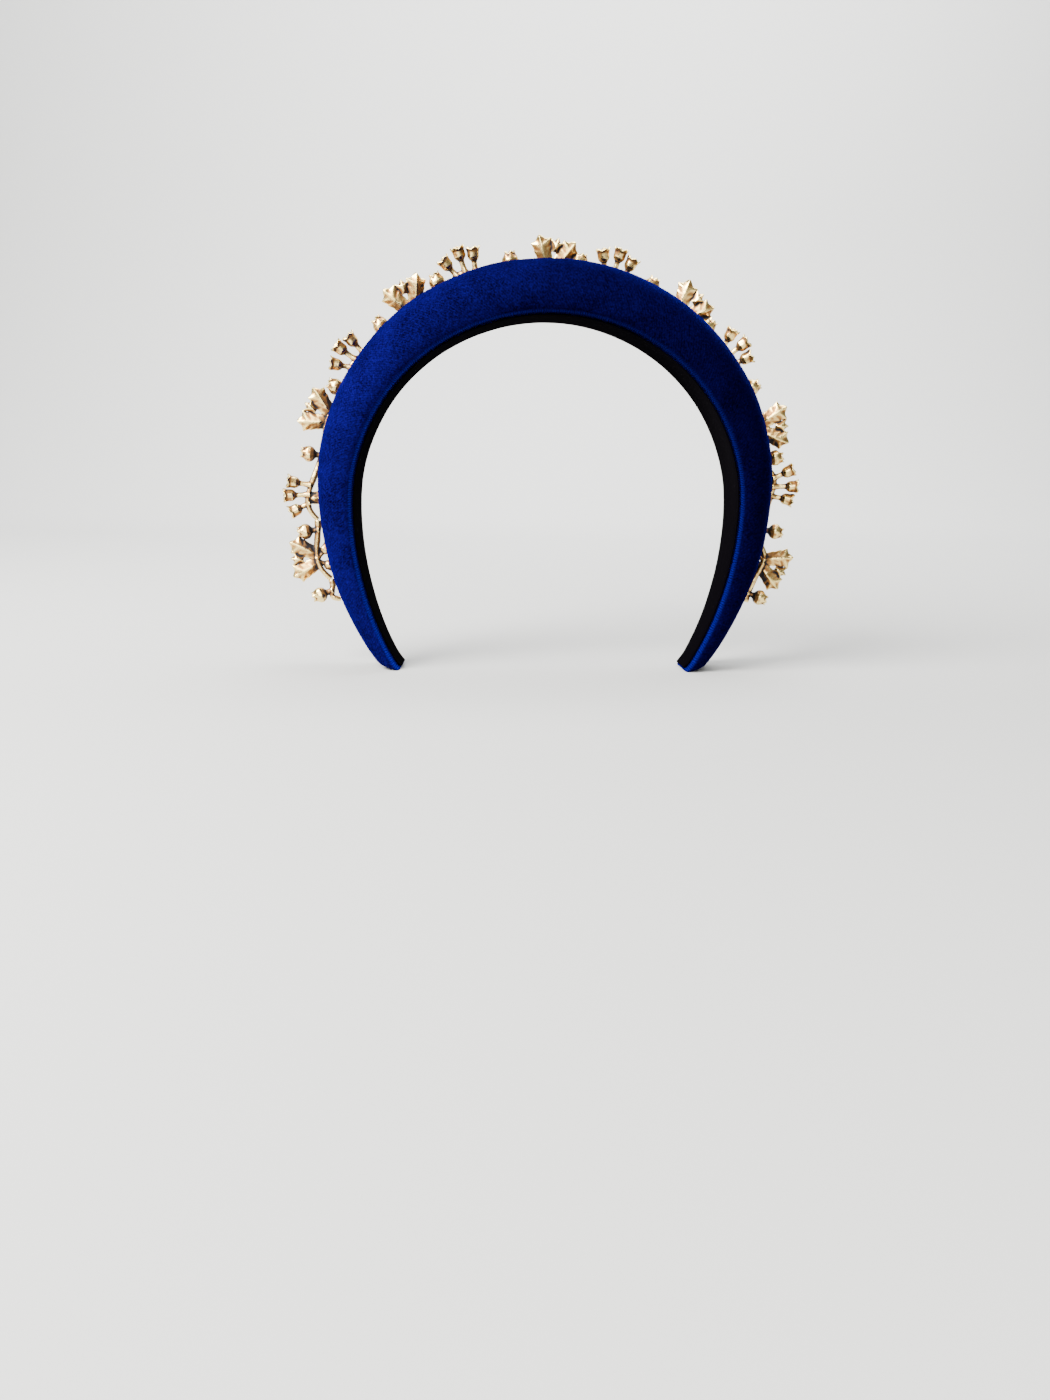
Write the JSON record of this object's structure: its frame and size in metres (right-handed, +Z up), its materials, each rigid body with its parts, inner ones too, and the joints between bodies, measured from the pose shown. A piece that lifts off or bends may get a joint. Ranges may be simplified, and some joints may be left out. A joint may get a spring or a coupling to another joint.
{
  "type": "embellished headband",
  "caption": "Wide padded velvet headband with a black lining and a cast antique-gold garland of leaves, bells and berries along its front edge.",
  "frame": {"origin": "on the surface it stands on, under the middle of its overall box", "axes": "+Z up, -Y to the front of the band where the garland is, +X to the end with the extra berry"},
  "size_m": [0.2198, 0.0442, 0.1754],
  "materials": {
    "blue_velvet": "short-pile velvet over padding",
    "black_lining": "matt woven ribbon",
    "antique_gold": "cast, gold plated, dark in the recesses"
  },
  "bodies": {
    "root": {"padded_band": "blue_velvet", "inner_lining": "black_lining", "leaf_spray_1": "antique_gold", "leaf_spray_2": "antique_gold", "leaf_spray_3": "antique_gold", "leaf_spray_4": "antique_gold", "leaf_spray_5": "antique_gold", "leaf_spray_6": "antique_gold", "leaf_spray_7": "antique_gold", "bell_spray_1": "antique_gold", "bell_spray_2": "antique_gold", "bell_spray_3": "antique_gold", "bell_spray_4": "antique_gold", "bell_spray_5": "antique_gold", "bell_spray_6": "antique_gold", "end_berry": "antique_gold"}
  },
  "joints": []
}
